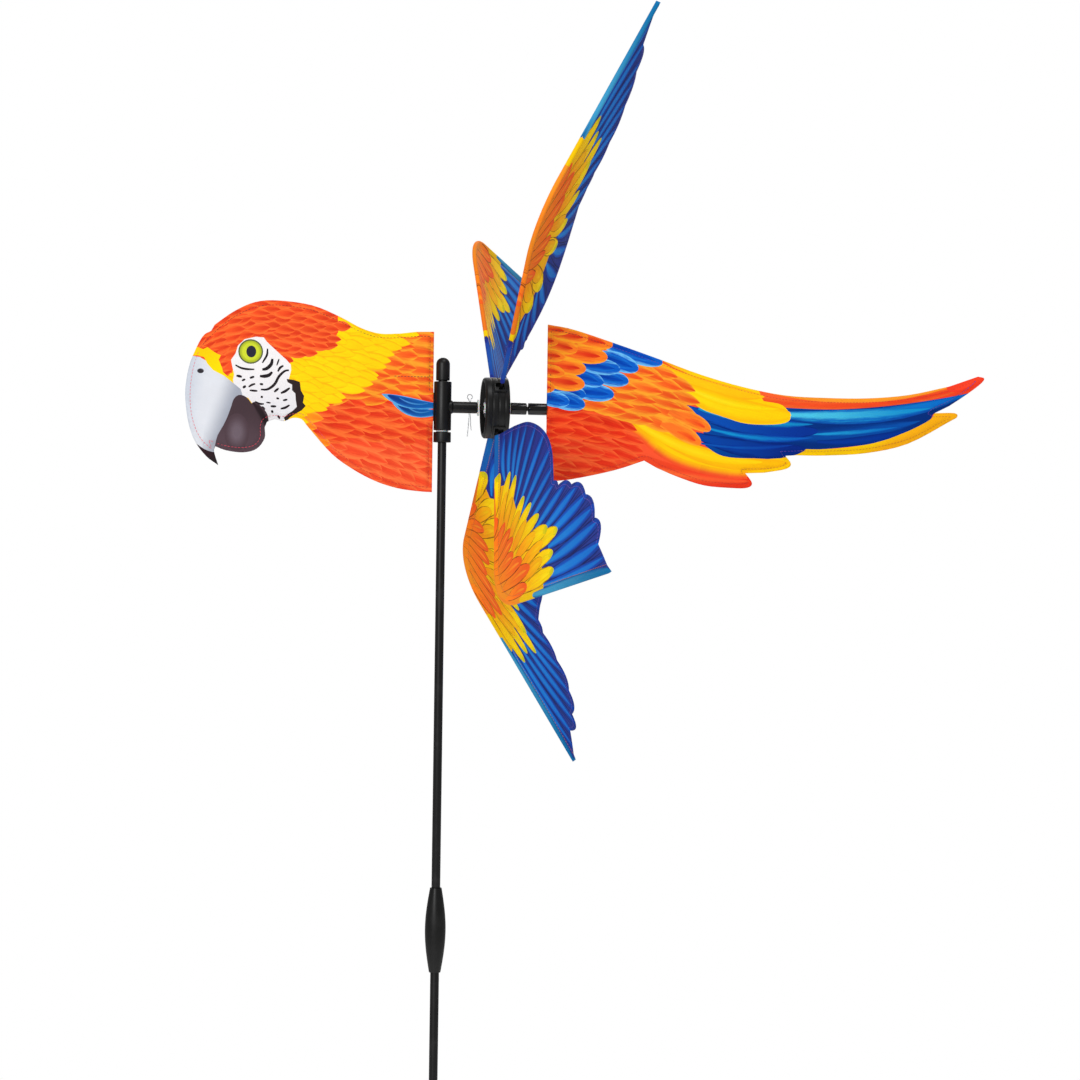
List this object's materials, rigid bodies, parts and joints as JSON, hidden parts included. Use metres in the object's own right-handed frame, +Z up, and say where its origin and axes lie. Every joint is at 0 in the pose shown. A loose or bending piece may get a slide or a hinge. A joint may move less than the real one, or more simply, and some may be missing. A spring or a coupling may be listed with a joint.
{
  "type": "whirligig",
  "caption": "Garden wind spinner: a printed macaw body that swivels on a pole, with a rotor of bent cloth wings spinning on its axle.",
  "frame": {"origin": "centre of the pole's flat lower end", "axes": "+Z up the pole, -X along the beak, +X along the tail, the bird symmetric about the XZ plane"},
  "size_m": [0.7464, 0.7136, 1.3432],
  "materials": {
    "black_rod": "pultruded fibreglass rod, satin black",
    "black_plastic": "moulded black plastic, fine matte grain",
    "gloss_sleeve": "glossy black tube",
    "steel_wire": "bright steel wire",
    "clear_plastic": "natural translucent nylon",
    "foam_board": "closed-cell foam board",
    "body_cloth": "printed woven polyester, scarlet and orange feathers",
    "wing_cloth": "printed woven polyester, blue, yellow and orange feathers"
  },
  "bodies": {
    "pole": {"lower_pole": "black_rod", "upper_pole": "black_rod", "pole_connector": "black_plastic", "swivel_collar": "black_plastic", "swivel_washer": "clear_plastic", "pole_cap": "black_plastic"},
    "vane": {"tee_fitting": "black_plastic", "axle_rod": "black_rod", "front_washer": "clear_plastic", "rear_washer": "clear_plastic", "stop_sleeve": "gloss_sleeve", "tail_sleeve": "gloss_sleeve", "cotter_pin": "steel_wire", "head_board": "foam_board", "tail_board": "foam_board", "head_cloth_left": "body_cloth", "head_cloth_right": "body_cloth", "tail_cloth_left": "body_cloth", "tail_cloth_right": "body_cloth"},
    "rotor": {"hub_drum": "black_plastic", "hub_bushing": "clear_plastic", "wing_rod_1": "black_rod", "wing_rod_2": "black_rod", "wing_rod_3": "black_rod", "wing_rod_4": "black_rod", "wing_sleeve_1": "wing_cloth", "wing_sleeve_2": "wing_cloth", "wing_sleeve_3": "wing_cloth", "wing_sleeve_4": "wing_cloth", "wing_cloth_1": "wing_cloth", "wing_cloth_2": "wing_cloth", "wing_cloth_3": "wing_cloth", "wing_cloth_4": "wing_cloth"}
  },
  "joints": [
    {"name": "vane_swivel", "type": "hinge", "parent": "pole", "child": "vane", "pos_m": [0, 0, 1], "axis": [0, 0, 1], "continuous": true},
    {"name": "rotor_spin", "type": "hinge", "parent": "vane", "child": "rotor", "pos_m": [0.05, 0, 1], "axis": [1, 0, 0], "continuous": true}
  ]
}
